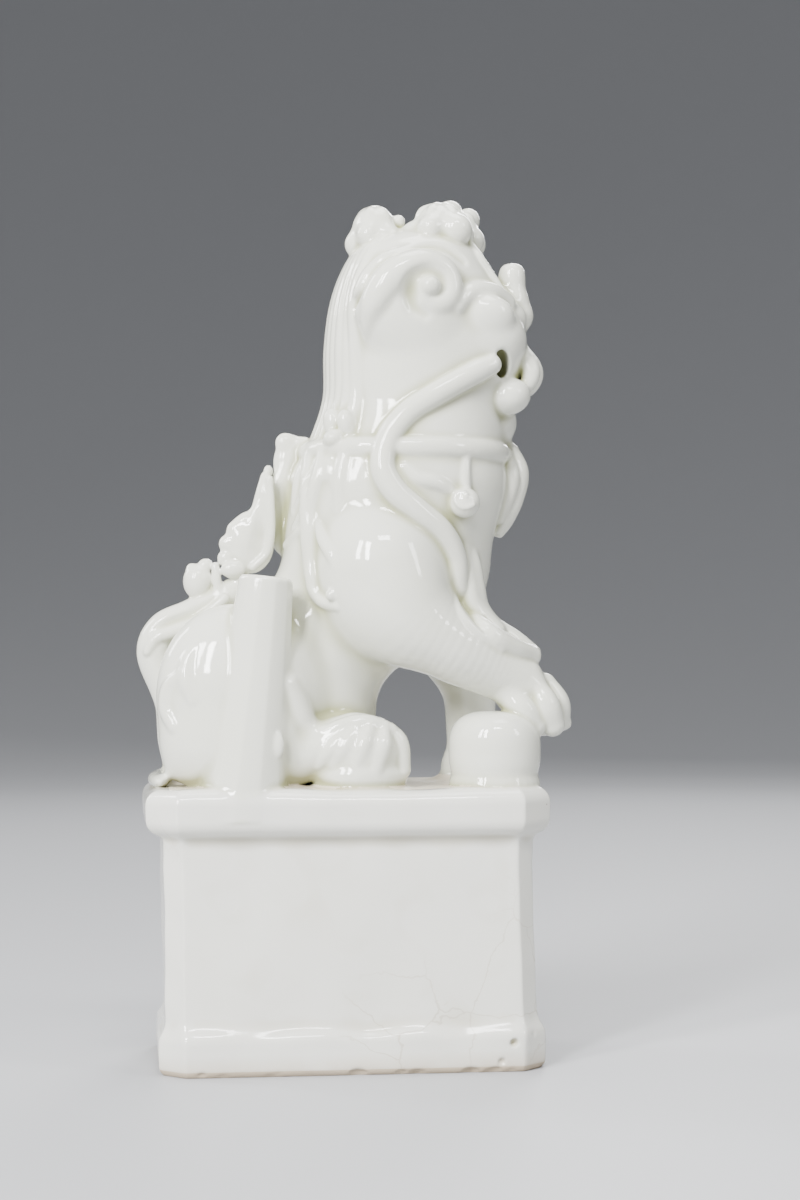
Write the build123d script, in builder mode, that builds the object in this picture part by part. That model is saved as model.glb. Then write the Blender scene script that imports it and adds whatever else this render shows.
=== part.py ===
"""A seated guardian lion on a plinth, a glazed porcelain joss-stick holder.

The figure is made as a potter makes it. Slabs are mitred into a hollow plinth with applied
mouldings. The lion's body and head are thin pressed shells, joined on the median plane and
at the collar. The limbs, ears, eyes, curls, tail and trimmings are made by themselves and
luted on, and a tapered tube beside the flank holds the stick.

The lion looks along +X, its left is +Y, and the plinth stands on Z = 0. Sizes are in mm.
"""

import os
from math import atan2, cos, degrees, pi, sin, sqrt, tan

from build123d import *

# --- plinth ---------------------------------------------------------------------------
plinth_length = 75.2
plinth_depth = 43.0
plinth_height = 57.0
plinth_wall = 4.0
plinth_corner = 3.6  # corner chamfer, seen from above
deck_thickness = 4.0
vent_radius = 4.5
foot_rim_height = 1.2  # the bare rim under the walls and the foot moulding
top_moulding_height = 9.4
top_moulding_proud = 3.0
top_moulding_roll = 2.6
foot_moulding_height = 10.6
foot_moulding_proud = 1.6
foot_moulding_roll = 1.2
moulding_corner_growth = 1.2  # how much a moulding's corner cut grows per mm it stands proud

# --- lion body ------------------------------------------------------------------------
shell_wall = 3.2
# Level sections of the body: height above the deck, centre along X, half length, half width.
body_sections = [
    (0.0, -13.0, 21.0, 10.8),
    (9.0, -13.0, 25.0, 11.0),
    (19.0, -12.8, 25.7, 11.0),
    (27.0, -10.5, 25.5, 12.0),
    (34.0, -4.0, 25.0, 13.5),
    (41.0, 3.2, 25.3, 15.5),
    (50.0, 9.5, 23.5, 17.5),
    (61.0, 13.2, 22.3, 18.2),
    (70.5, 15.6, 21.4, 17.6),
]
haunch_form = (31.0, 17.0, 33.0, -21.0, 10.0, 15.6)  # a bulge of each half, as the forms below
neck_vent_radius = 4.0

# --- head -----------------------------------------------------------------------------
head_length, head_width, head_height = 43.0, 38.0, 54.0  # of the whole ellipsoid
head_centre_x = 17.3
head_centre_rise = 16.0  # of its centre above the neck
mouth_width, mouth_height, mouth_depth = 26.0, 4.6, 13.0
mouth_rise = 16.6  # above the neck
# Pieces on the face: length along X, width and height, then where the centre lies: X from the
# head's foremost point, Y, and height over the neck.
nose_form = (10.0, 13.0, 9.0, -2.7, 0.0, 29.3)
forehead_knob_form = (6.5, 8.0, 8.5, -4.4, 0.0, 36.9)
upper_lip_form = (9.0, 13.0, 11.0, -0.8, 0.0, 17.3)
lower_lip_form = (10.0, 9.0, 9.0, -4.3, 8.3, 11.0)
chin_form = (9.0, 12.0, 8.0, -3.8, 0.0, 5.6)
eye_size = (8.0, 8.0, 8.0)
eye_x, eye_rise, eye_out = 26.5, 29.2, -1.05  # of its centre, from the head's side
# Rolls on the head's side: X, height over the neck, and how far the roll's line stands out.
brow_radius, brow_route = 2.1, [(33.0, 34.0, 0.6), (28.0, 36.0, 0.9), (22.0, 34.5, 0.4)]
ear_radius = 2.3
ear_route = [
    (4.5, 30.0, 0.6), (9.5, 34.8, 0.9), (16.2, 36.4, 1.1), (21.6, 31.5, 1.1),
    (17.6, 26.2, 1.1), (12.4, 28.0, 1.1),
]
ear_knob = (5.4, 4.6, 5.4)
ear_knob_x, ear_knob_rise = 16.6, 31.2
# Crown curls: centre X, Y, height over the neck, radius.
crown_curls = {
    "rear": (7.6, 0.0, 41.6, 6.6),
    "right": (20.8, -6.0, 44.2, 7.2),
    "left": (25.2, 6.6, 43.0, 6.4),
}
curl_flatness = 0.8  # height of a curl over its width
# Nape strands: degrees round from the face to each, their radius, and their height angles.
nape_radius = 3.0
nape_strands = {"right": (-162, -138), "centre": (180,), "left": (162, 138)}
nape_angles = (46, 20, -6, -24)

# --- collar and trimmings -------------------------------------------------------------
collar_radius = 2.4
collar_sink = 0.7  # how far a roll's line lies inside the surface that carries it
collar_boss = (5.2, 4.4, 7.0)
collar_boss_x, collar_boss_rise = -1.8, 3.0
bell_radius = 3.0
bell_x, bell_drop = 23.5, 10.3  # of its centre below the neck
bell_out = 1.0  # how far a bell's centre lies outside the flank
strap_x, strap_out, strap_radius = 22.5, 0.6, 1.5  # of the strap's top end, under the collar
tassel_form = (7.4, 6.6, 17.0)
tassel_x, tassel_drop = 36.4, 9.0
side_lock_radius, side_lock_out = 2.6, 0.8
side_lock_route = [(-1.0, -4.0), (-4.6, -13.0), (-5.2, -22.0), (-2.2, -31.0)]

# --- limbs: each a chain of rounds, as X, Y, height over the deck, radius ----------------
hind_foot_form = (24.0, 15.0, 19.5, 0.8, 14.0, 8.0)
raised_foreleg = [(11.5, -14.5, 45.5, 8.6), (16.5, -14.6, 31.0, 7.4), (37.0, -10.6, 22.6, 5.4)]
raised_paw_form = (18.0, 13.0, 11.0, 39.8, -9.6, 17.6)
standing_foreleg = [(11.5, 14.5, 45.5, 8.6), (23.0, 13.0, 31.0, 7.0), (28.2, 12.0, 6.0, 5.0)]
standing_paw_form = (18.0, 13.0, 10.0, 31.2, 12.0, 4.0)

# --- ball, tube, ribbon and tail ------------------------------------------------------
ball_radius, ball_height, ball_foot_radius = 9.2, 16.0, 8.4
ball_profile = [(0.92, 0.17), (1.0, 0.55), (0.72, 0.9)]  # shares of the radius and height
ball_x, ball_y = 30.8, -12.6
tube_base_radius, tube_mouth_radius, tube_height = 8.4, 5.35, 43.4
tube_bore_radius, tube_floor = 3.0, 6.0
tube_mouth_round = 0.9
tube_x, tube_y, tube_lean = -21.2, -16.2, 6.0  # lean in degrees, towards the head
ribbon_radius = 2.4
# The ribbon's line from the mouth's corner to the raised paw: X, Y, height over the deck.
ribbon_route = [
    (32.0, -14.2, 85.6), (26.0, -18.0, 83.2), (18.4, -20.0, 79.9), (9.5, -21.6, 73.3),
    (6.8, -22.0, 65.2), (12.0, -23.6, 58.3), (19.0, -23.0, 51.5), (23.4, -20.0, 44.5),
    (23.6, -17.0, 38.0), (28.0, -14.4, 33.0), (35.2, -11.4, 29.2), (41.4, -9.6, 24.6),
]
tail_radius = 4.4
tail_route = [(-34.0, 17.0), (-38.4, 24.0), (-36.5, 32.5), (-28.0, 38.0), (-20.0, 41.0)]
tail_knob = (-29.5, 43.6, 3.6)
# Tail leaves: root X and height over the deck, tip X and height, width, thickness.
tail_leaves = {
    "low": (-15.0, 37.0, -25.8, 51.0, 11.0, 8.0),
    "middle": (-18.0, 40.0, -14.6, 66.0, 11.0, 8.0),
    "high": (-3.0, 58.0, -12.2, 74.4, 10.0, 7.0),
}

# --- places that follow from the sizes above ------------------------------------------
deck_top = plinth_height
deck_bottom = deck_top - deck_thickness
neck_z = deck_top + body_sections[-1][0]
neck_x, neck_half_length, neck_half_width = body_sections[-1][1:]
head_centre = Vector(head_centre_x, 0, neck_z + head_centre_rise)
head_radii = (head_length / 2, head_width / 2, head_height / 2)
SIDES = (("right", -1), ("left", 1))
CRUMB = 0.04  # share of a piece below which a scrap left by fitting is thrown away
FLANK_END = 0.97  # share of the half length past which a flank point is held to the flank
HEAD_RIM = 0.02  # least share of the head's side left for a point near its outline
BEND = 0.45  # share of the shorter run beside a corner that a roll's bend may take

os.makedirs("parts", exist_ok=True)


def save(builder, name):
    """Label a finished piece and write it as its own STEP file."""
    builder.part.label = name
    export_step(builder.part, f"parts/{name}.step")


def ellipsoid(centre, size, turn=(0, 0, 0)):
    """A solid ellipsoid of the given overall size, turned about its own centre."""
    radius = max(size) / 2
    with BuildPart() as form:
        Sphere(radius)
        scale(by=tuple(extent / 2 / radius for extent in size))
    return Location(tuple(centre), turn) * form.part


def outline(length, depth, corner):
    """A rectangle with cut corners, for use inside BuildSketch."""
    rectangle = Rectangle(length, depth)
    chamfer(rectangle.vertices(), corner)


def on_body(x, z, side, out=0.0):
    """The point on the body's flank over a given X and Z, moved out from it."""
    rise = min(max(z - deck_top, 0), body_sections[-1][0])
    for (low, *lower), (high, *upper) in zip(body_sections, body_sections[1:]):
        if low <= rise <= high:
            share = (rise - low) / (high - low)
            centre, half_length, half_width = (p + (q - p) * share for p, q in zip(lower, upper))
    along = min(abs(x - centre) / half_length, FLANK_END)
    return Vector(x, side * (half_width * sqrt(1 - along**2) + out), z)


def on_head(around, up, out=0.0):
    """The point on the head in a direction: degrees round from the face, and above level."""
    a, e = around * pi / 180, up * pi / 180
    way = Vector(cos(e) * cos(a), cos(e) * sin(a), sin(e))
    reach = 1 / sqrt(sum((w / r) ** 2 for w, r in zip(way, head_radii)))
    return head_centre + way * (reach + out)


def head_side(x, z, side, out=0.0):
    """The point on the head's side over a given X and Z, moved out from it."""
    a, b, c = head_radii
    left = 1 - ((x - head_centre.X) / a) ** 2 - ((z - head_centre.Z) / c) ** 2
    return Vector(x, side * (b * sqrt(max(left, HEAD_RIM)) + out), z)


def limb(rounds):
    """A chain of rounds joined by cones, such as a leg. Each round is a point and a radius."""
    with BuildPart() as chain:
        for x, y, z, radius in rounds:
            with Locations((x, y, z)):
                Sphere(radius)
        for (*start, first), (*end, last) in zip(rounds, rounds[1:]):
            span = Vector(*end) - Vector(*start)
            with BuildSketch(Plane(origin=start, z_dir=span)):
                Circle(first)
            with BuildSketch(Plane(origin=end, z_dir=span)):
                Circle(last)
            loft()
    return chain.part


def raised(rounds):
    """Rounds whose heights are counted from the deck, moved up to it."""
    return [(x, y, deck_top + rise, radius) for x, y, rise, radius in rounds]


def roll(points, radius):
    """A rolled clay strand of one radius, bent at each point, with round ends."""
    points = [Vector(*point) for point in points]
    bends = []
    for before, corner, after in zip(points, points[1:], points[2:]):
        run = min((corner - before).length, (after - corner).length)
        half_turn = (corner - before).get_angle(after - corner) * pi / 360
        bends.append(BEND * run / tan(half_turn))
    with BuildPart() as strand:
        with BuildLine() as line:
            FilletPolyline(*points, radius=bends)
        with BuildSketch(Plane(origin=points[0], z_dir=points[1] - points[0])):
            Circle(radius)
        sweep(path=line.wire())
        with Locations(points[0], points[-1]):
            Sphere(radius)
    return strand.part


def leaf(root, tip, width, thickness):
    """A flattened leaf of clay in a plane of constant Y, from root to tip."""
    span = Vector(*tip) - Vector(*root)
    middle = (Vector(*tip) + Vector(*root)) * 0.5
    return ellipsoid(middle, (span.length, thickness, width), (0, -degrees(atan2(span.Z, span.X)), 0))


def placed(form, base_z, side=1, base_x=0.0):
    """An ellipsoid from its size and place, counted along from base_x and up from base_z."""
    length, width, height, x, y, rise = form
    return ellipsoid((base_x + x, side * y, base_z + rise), (length, width, height))


def on_face(form, side=1):
    """An ellipsoid on the face, placed from the head's foremost point and the neck."""
    return placed(form, neck_z, side, head_centre_x + head_length / 2)


fitted = []  # every form made so far, for later pieces to be cut to


def lute(name, *forms):
    """Fuse forms into one piece, cut it to fit all that is made so far, and save it."""
    with BuildPart() as piece:
        add(forms)
        reach = piece.part.bounding_box()
        for other in fitted:
            if reach.overlaps(other.bounding_box()):
                add(other, mode=Mode.SUBTRACT)
    whole = piece.part.volume
    kept = [scrap for scrap in piece.part.solids() if scrap.volume > CRUMB * whole]
    part = kept[0] if len(kept) == 1 else Compound(kept)
    part.label = name
    export_step(part, f"parts/{name}.step")
    fitted.append(part)


# === plinth ===========================================================================
def ring(name, length, depth, corner, proud, low, high, roll):
    """A moulding all round the walls, with rolled outer edges, before it is mitred."""
    with BuildPart() as band:
        with BuildSketch(Plane.XY.offset(low)):
            outline(length + 2 * proud, depth + 2 * proud, corner + moulding_corner_growth * proud)
        extrude(amount=high - low)
        fillet(band.faces().filter_by(Axis.Z).edges(), roll)
        with BuildSketch(Plane.XY.offset(low)):
            outline(length, depth, corner)
        extrude(amount=high - low, mode=Mode.SUBTRACT)
    band.part.label = name
    return band.part


def mitre(way, reach):
    """The corners of the ground that one side of the plinth owns, out to reach."""
    slope = (plinth_length - plinth_depth) / 2  # where the long sides' mitres would meet
    x, y = plinth_length / 2 + reach, plinth_depth / 2 + reach
    return {
        "right": [(-x, -y), (x, -y), (slope, 0), (-slope, 0)],
        "left": [(x, y), (-x, y), (-slope, 0), (slope, 0)],
        "front": [(x, -y), (x, y), (slope, 0)],
        "rear": [(-x, y), (-x, -y), (-slope, 0)],
    }[way]


def hollow(length, depth, corner, low, high):
    """The plinth's walls between two levels: an outline with cut corners, less the inside."""
    with BuildPart() as tube_of_walls:
        with BuildSketch(Plane.XY.offset(low)):
            outline(length, depth, corner)
            Rectangle(
                plinth_length - 2 * plinth_wall,
                plinth_depth - 2 * plinth_wall,
                mode=Mode.SUBTRACT,
            )
        extrude(amount=high - low)
    return tube_of_walls.part


walls = hollow(plinth_length, plinth_depth, plinth_corner, foot_rim_height, deck_bottom)
with BuildPart() as foot_rim:
    add(hollow(
        plinth_length + 2 * foot_moulding_proud,
        plinth_depth + 2 * foot_moulding_proud,
        plinth_corner + moulding_corner_growth * foot_moulding_proud,
        0,
        foot_rim_height,
    ))
save(foot_rim, "foot_rim")

top_ring = ring(
    "top_moulding", plinth_length, plinth_depth, plinth_corner, top_moulding_proud,
    plinth_height - top_moulding_height, plinth_height, top_moulding_roll,
)
foot_ring = ring(
    "foot_moulding", plinth_length, plinth_depth, plinth_corner, foot_moulding_proud,
    foot_rim_height, foot_moulding_height, foot_moulding_roll,
)

for way in ("right", "left", "front", "rear"):
    for whole, prefix in (
        (walls, "plinth_wall"),
        (top_ring, "top_moulding"),
        (foot_ring, "foot_moulding"),
    ):
        with BuildPart() as side_piece:
            with BuildSketch():
                Polygon(*mitre(way, 2 * top_moulding_proud), align=None)
            extrude(amount=plinth_height)
            add(whole, mode=Mode.INTERSECT)
        save(side_piece, f"{prefix}_{way}")

with BuildPart() as plinth_deck:
    with BuildSketch(Plane.XY.offset(deck_bottom)):
        outline(plinth_length, plinth_depth, plinth_corner)
    extrude(amount=deck_thickness)
    with Locations((body_sections[0][1], 0, deck_top)):
        Hole(vent_radius, depth=deck_thickness)
save(plinth_deck, "plinth_deck")

fitted += [top_ring, plinth_deck.part]

# === tube =============================================================================
lean = tube_lean * pi / 180
tube_plane = Plane(
    origin=(tube_x, tube_y, deck_top),
    x_dir=(cos(lean), 0, -sin(lean)),
    z_dir=(sin(lean), 0, cos(lean)),
)
with BuildPart() as tube_form:
    with BuildSketch(tube_plane.offset(-2 * tube_base_radius * sin(lean))):
        Circle(tube_base_radius)
    with BuildSketch(tube_plane.offset(tube_height)):
        Circle(tube_mouth_radius)
    loft()
    fillet(tube_form.faces().sort_by(Axis.Z)[-1].edges(), tube_mouth_round)
    split(bisect_by=Plane.XY.offset(deck_top), keep=Keep.TOP)

with BuildPart() as joss_stick_tube:
    add(tube_form.part)
    with BuildSketch(tube_plane.offset(tube_floor)):
        Circle(tube_bore_radius)
    extrude(amount=tube_height, mode=Mode.SUBTRACT)
save(joss_stick_tube, "joss_stick_tube")
fitted.append(tube_form.part)

# === body and head shells =============================================================
with BuildPart() as body_form:
    for rise, x, half_length, half_width in body_sections:
        with BuildSketch(Plane(origin=(x, 0, deck_top + rise))):
            Ellipse(half_length, half_width)
    loft()
    for side, sign in SIDES:
        add(placed(haunch_form, deck_top, sign))
    split(bisect_by=Plane.XY.offset(deck_top), keep=Keep.TOP)

with BuildPart() as body_cavity:
    for rise, x, half_length, half_width in body_sections:
        level = min(rise, body_sections[-1][0] - shell_wall)
        with BuildSketch(Plane(origin=(x, 0, deck_top + level))):
            Ellipse(half_length - shell_wall, half_width - shell_wall)
    loft()

for side, sign in SIDES:
    with BuildPart() as body_half:
        add(body_form.part)
        add(body_cavity.part, mode=Mode.SUBTRACT)
        with Locations((neck_x, 0, neck_z)):
            Hole(neck_vent_radius, depth=2 * shell_wall)
        split(bisect_by=Plane.XZ, keep=Keep.TOP if sign < 0 else Keep.BOTTOM)
        add(tube_form.part, mode=Mode.SUBTRACT)
    save(body_half, f"body_{side}_half")
fitted.append(body_form.part)

with BuildPart() as head_form:
    add(ellipsoid(head_centre, (head_length, head_width, head_height)))
    split(bisect_by=Plane.XY.offset(neck_z), keep=Keep.TOP)

with BuildPart() as head:
    add(head_form.part)
    add(
        ellipsoid(head_centre, tuple(2 * (radius - shell_wall) for radius in head_radii)),
        mode=Mode.SUBTRACT,
    )
    with Locations((head_centre.X + head_length / 2, 0, neck_z + mouth_rise)):
        Box(2 * mouth_depth, mouth_width, mouth_height, mode=Mode.SUBTRACT)
save(head, "head")
fitted.append(head_form.part)

# === ball =============================================================================
with BuildPart() as ball:
    with BuildSketch(Plane.XZ):
        with BuildLine():
            Line((0, 0), (ball_foot_radius, 0))
            Spline(
                (ball_foot_radius, 0),
                *((ball_radius * across, ball_height * up) for across, up in ball_profile),
                (0, ball_height),
                tangents=((0.2, 1), (-1, 0)),
            )
            Line((0, ball_height), (0, 0))
        make_face()
    revolve(axis=Axis.Z)
ball.part.position = (ball_x, ball_y, deck_top)
save(ball, "ball")
fitted.append(ball.part)

# === limbs ============================================================================
for side, sign in SIDES:
    lute(f"hind_foot_{side}", placed(hind_foot_form, deck_top, sign))
lute("foreleg_right", limb(raised(raised_foreleg)))
lute("foreleg_left", limb(raised(standing_foreleg)))
lute("forepaw_right", placed(raised_paw_form, deck_top))
lute("forepaw_left", placed(standing_paw_form, deck_top))

# === face =============================================================================
lute("upper_lip", on_face(upper_lip_form))
lute("nose", on_face(nose_form))
lute("forehead_knob", on_face(forehead_knob_form))
for side, sign in SIDES:
    lute(f"lower_lip_{side}", on_face(lower_lip_form, sign))
lute("chin", on_face(chin_form))
for side, sign in SIDES:
    eye = head_side(eye_x, neck_z + eye_rise, sign, eye_out)
    lute(f"eye_{side}", ellipsoid(eye, eye_size))
for side, sign in SIDES:
    brow = [head_side(x, neck_z + rise, sign, out) for x, rise, out in brow_route]
    lute(f"brow_{side}", roll(brow, brow_radius))
for side, sign in SIDES:
    ear = [head_side(x, neck_z + rise, sign, out) for x, rise, out in ear_route]
    knob = head_side(ear_knob_x, neck_z + ear_knob_rise, sign)
    lute(f"ear_{side}", roll(ear, ear_radius), ellipsoid(knob, ear_knob))

# === mane =============================================================================
for name, (x, y, rise, radius) in crown_curls.items():
    width = 2 * radius
    lute(
        f"crown_curl_{name}",
        ellipsoid((x, y, neck_z + rise), (width, width * curl_flatness, width)),
    )
for side, strands in nape_strands.items():
    lute(
        f"nape_mane_{side}",
        *(roll([on_head(a, up) for up in nape_angles], nape_radius) for a in strands),
    )

# === collar and trimmings =============================================================
with BuildPart() as collar_form:
    with BuildLine(Plane.XY.offset(neck_z)) as collar_line:
        EllipticalCenterArc(
            (neck_x, 0),
            neck_half_length - collar_sink,
            neck_half_width - collar_sink,
            start_angle=0,
            arc_size=180,
        )
    with BuildSketch(Plane(origin=collar_line.edge() @ 0, z_dir=collar_line.edge() % 0)):
        Circle(collar_radius)
    sweep()
    mirror(about=Plane.XZ)
lute("collar", collar_form.part)

lute("front_tassel", ellipsoid((tassel_x, 0, neck_z - tassel_drop), tassel_form))
for side, sign in SIDES:
    boss = on_body(collar_boss_x, neck_z, sign, collar_sink)
    lute(f"collar_boss_{side}", ellipsoid(boss + (0, 0, collar_boss_rise), collar_boss))
for side, sign in SIDES:
    bell = on_body(bell_x, neck_z - bell_drop, sign, bell_out)
    strap = on_body(strap_x, neck_z - collar_radius, sign, strap_out)
    lute(f"bell_{side}", limb([(*strap, strap_radius), (*bell, bell_radius)]))
lute("ribbon", roll([(x, y, deck_top + rise) for x, y, rise in ribbon_route], ribbon_radius))
for side, sign in SIDES:
    lock = [on_body(x, neck_z + rise, sign, side_lock_out) for x, rise in side_lock_route]
    lute(f"side_lock_{side}", roll(lock, side_lock_radius))

# === tail =============================================================================
lute("tail", roll([(x, 0, deck_top + rise) for x, rise in tail_route], tail_radius))
knob_x, knob_rise, knob_radius = tail_knob
lute("tail_knob", ellipsoid((knob_x, 0, deck_top + knob_rise), (2 * knob_radius,) * 3))
for name, (root_x, root_rise, tip_x, tip_rise, width, thickness) in tail_leaves.items():
    root, tip = (root_x, 0, deck_top + root_rise), (tip_x, 0, deck_top + tip_rise)
    lute(f"tail_leaf_{name}", leaf(root, tip, width, thickness))
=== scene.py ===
"""The guardian lion in glazed porcelain: its pieces, glaze, studio and camera.

The clay is modelled as one signed distance field on a grid, in millimetres, because the
glaze runs over every joint and hides the seams. Each piece has its own field. The fields are
melted together, the surface is drawn off the grid, and every face goes to the piece that
owns the clay under it, so each piece is a glazed shell of its own.

The lion looks along +X, its left is +Y, and the plinth stands on Z = 0.
"""

import math

import bpy
import numpy as np
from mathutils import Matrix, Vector


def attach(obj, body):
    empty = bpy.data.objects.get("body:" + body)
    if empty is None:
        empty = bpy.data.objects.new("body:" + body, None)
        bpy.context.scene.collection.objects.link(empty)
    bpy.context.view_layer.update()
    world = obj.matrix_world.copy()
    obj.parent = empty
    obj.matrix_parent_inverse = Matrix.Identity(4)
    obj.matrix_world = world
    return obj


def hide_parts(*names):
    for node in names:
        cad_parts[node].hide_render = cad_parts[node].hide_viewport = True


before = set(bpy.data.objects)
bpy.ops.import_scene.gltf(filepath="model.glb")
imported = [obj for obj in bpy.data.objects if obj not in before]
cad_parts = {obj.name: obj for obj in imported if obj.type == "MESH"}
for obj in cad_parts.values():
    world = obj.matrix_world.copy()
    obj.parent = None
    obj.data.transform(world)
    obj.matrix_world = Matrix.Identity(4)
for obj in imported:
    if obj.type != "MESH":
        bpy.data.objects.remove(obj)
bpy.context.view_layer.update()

MM = 0.001
STEP = 0.38  # the grid's spacing, mm
FAR = 60.0
GRID_LOW = np.array([-47.0, -29.5, -1.6])
GRID_HIGH = np.array([51.5, 29.5, 183.0])
COUNT = np.ceil((GRID_HIGH - GRID_LOW) / STEP).astype(int)
DECK = 57.0  # height of the plinth's deck
SIDES = (("right", -1.0), ("left", 1.0))


# === clay: signed distance fields =====================================================
def sample(values, points):
    """A grid's values at points in grid cells, interpolated."""
    points = np.clip(points, 0, np.array(values.shape) - 1.001)
    low = np.floor(points).astype(int)
    f = points - low
    out = np.zeros(len(points))
    for i in (0, 1):
        for j in (0, 1):
            for k in (0, 1):
                weight = (
                    (f[:, 0] if i else 1 - f[:, 0])
                    * (f[:, 1] if j else 1 - f[:, 1])
                    * (f[:, 2] if k else 1 - f[:, 2])
                )
                out += weight * values[low[:, 0] + i, low[:, 1] + j, low[:, 2] + k]
    return out


def smooth_min(a, b, blend):
    """The union of two fields, with a fillet about as large as blend."""
    if blend <= 0:
        return np.minimum(a, b)
    near = np.maximum(blend - np.abs(a - b), 0) / blend
    return np.minimum(a, b) - near * near * (blend / 4)


class Clay:
    """A distance field over a box of the grid, negative inside the clay."""

    def __init__(self, low, high, reach=4.0):
        self.reach = reach
        self.start = self.cell(np.array(low) - reach)
        self.stop = self.cell(np.array(high) + reach) + 1
        self.d = np.full(tuple(self.stop - self.start), FAR, np.float32)

    @staticmethod
    def cell(point):
        return np.clip(np.round((np.asarray(point) - GRID_LOW) / STEP).astype(int), 0, COUNT - 1)

    def window(self, low, high):
        """The slices of this field that cover a box, and the coordinates there."""
        first = np.maximum(self.cell(low), self.start)
        last = np.minimum(self.cell(high) + 1, self.stop)
        last = np.maximum(first, last)
        cut = tuple(slice(a - s, b - s) for a, b, s in zip(first, last, self.start))
        axes = [
            (GRID_LOW[i] + STEP * np.arange(first[i], last[i])).astype(np.float32)
            for i in range(3)
        ]
        x, y, z = axes[0][:, None, None], axes[1][None, :, None], axes[2][None, None, :]
        return cut, x, y, z

    def _apply(self, shape, blend, how):
        low, high, distance = shape
        grow = self.reach + blend
        cut, x, y, z = self.window(np.array(low) - grow, np.array(high) + grow)
        if self.d[cut].size:
            self.d[cut] = how(self.d[cut], distance(x, y, z).astype(np.float32), blend)

    def add(self, shape, blend=0.0):
        """Melt a shape on, with a fillet."""
        self._apply(shape, blend, smooth_min)
        return self

    def cut(self, shape, blend=0.0):
        """Cut a shape away, with softened edges."""
        self._apply(shape, blend, lambda a, b, k: -smooth_min(-a, b, k))
        return self

    def as_shape(self):
        """This field as a shape for another field on the same grid."""
        low = GRID_LOW + STEP * self.start
        high = GRID_LOW + STEP * (self.stop - 1)

        def distance(x, y, z):
            first = self.cell([x.flat[0], y.flat[0], z.flat[0]])
            size = (x.size, y.size, z.size)
            out = np.full(size, FAR, np.float32)
            a = np.maximum(first, self.start)
            b = np.minimum(first + size, self.stop)
            if np.all(b > a):
                inner = tuple(slice(p - f, q - f) for p, q, f in zip(a, b, first))
                mine = tuple(slice(p - s, q - s) for p, q, s in zip(a, b, self.start))
                out[inner] = self.d[mine]
            return out

        return low + self.reach, high - self.reach, distance


def turned(x, y, z, centre, turn):
    """Coordinates about a centre, in axes turned by degrees about X, then Y, then Z."""
    px, py, pz = x - centre[0], y - centre[1], z - centre[2]
    if turn is None:
        return px, py, pz
    rx, ry, rz = (math.radians(a) for a in turn)
    c, s = math.cos(-rz), math.sin(-rz)
    px, py = c * px - s * py, s * px + c * py
    c, s = math.cos(-ry), math.sin(-ry)
    px, pz = c * px + s * pz, -s * px + c * pz
    c, s = math.cos(-rx), math.sin(-rx)
    py, pz = c * py - s * pz, s * py + c * pz
    return px, py, pz


def ball(centre, radii, turn=None):
    """An ellipsoid. A positive turn about Y dips its +X end."""
    centre, radii = np.array(centre, float), np.array(radii, float) * np.ones(3)
    size = radii if turn is None else np.full(3, radii.max())

    def distance(x, y, z):
        px, py, pz = turned(x, y, z, centre, turn)
        a, b, c = radii
        k0 = np.sqrt((px / a) ** 2 + (py / b) ** 2 + (pz / c) ** 2)
        k1 = np.sqrt((px / a**2) ** 2 + (py / b**2) ** 2 + (pz / c**2) ** 2)
        return k0 * (k0 - 1) / np.maximum(k1, 1e-6)

    return centre - size, centre + size, distance


def rod(start, end, r0, r1, flat=1.0):
    """A round-ended cone. Under 1, flat thins it along Y."""
    a, b = np.array(start, float), np.array(end, float)
    span = b - a
    span_y = span[1] / flat
    length2 = max(span[0] ** 2 + span_y**2 + span[2] ** 2, 1e-9)
    r = max(r0, r1)

    def distance(x, y, z):
        px, py, pz = x - a[0], (y - a[1]) / flat, z - a[2]
        t = np.clip((px * span[0] + py * span_y + pz * span[2]) / length2, 0, 1)
        away = np.sqrt(
            (px - t * span[0]) ** 2 + (py - t * span_y) ** 2 + (pz - t * span[2]) ** 2
        )
        return (away - (r0 + (r1 - r0) * t)) * (1 if flat >= 1 else 0.5 + flat / 2)

    return np.minimum(a, b) - r, np.maximum(a, b) + r, distance


def curve(points, steps=6):
    """A smooth line through points of any number of values (Catmull-Rom)."""
    p = np.array(points, float)
    p = np.vstack([2 * p[0] - p[1], p, 2 * p[-1] - p[-2]])
    out = []
    for i in range(1, len(p) - 2):
        for t in np.arange(steps) / steps:
            a, b, c, d = p[i - 1 : i + 3]
            out.append(
                0.5
                * (
                    2 * b
                    + (c - a) * t
                    + (2 * a - 5 * b + 4 * c - d) * t**2
                    + (3 * b - a - 3 * c + d) * t**3
                )
            )
    out.append(p[-2])
    return np.array(out)


def strand(points, flat=1.0, steps=6, reach=4.0):
    """A rolled strand through points given as X, Y, Z and radius."""
    line = curve(points, steps)
    low = (line[:, :3] - line[:, 3:]).min(0)
    high = (line[:, :3] + line[:, 3:]).max(0)
    clay = Clay(low, high, reach)
    for a, b in zip(line, line[1:]):
        clay.add(rod(a[:3], b[:3], a[3], b[3], flat))
    return clay.as_shape()


# === the lion's pieces ================================================================
pieces = []  # (name, field, melt into the rest)


def piece(name, low, high, melt, reach=4.0):
    """A new named piece of clay. It stands for the CAD node of the same name."""
    clay = Clay(low, high, reach)
    pieces.append((name, clay, melt))
    return clay


def sided(name, side, low, high, melt, reach=4.0):
    """A piece on one side of the lion: low and high give its Y as distances outwards."""
    side_name, s = side
    (x0, y0, z0), (x1, y1, z1) = low, high
    y0, y1 = sorted((s * y0, s * y1))
    return piece(f"{name}_{side_name}", (x0, y0, z0), (x1, y1, z1), melt, reach)


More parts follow.
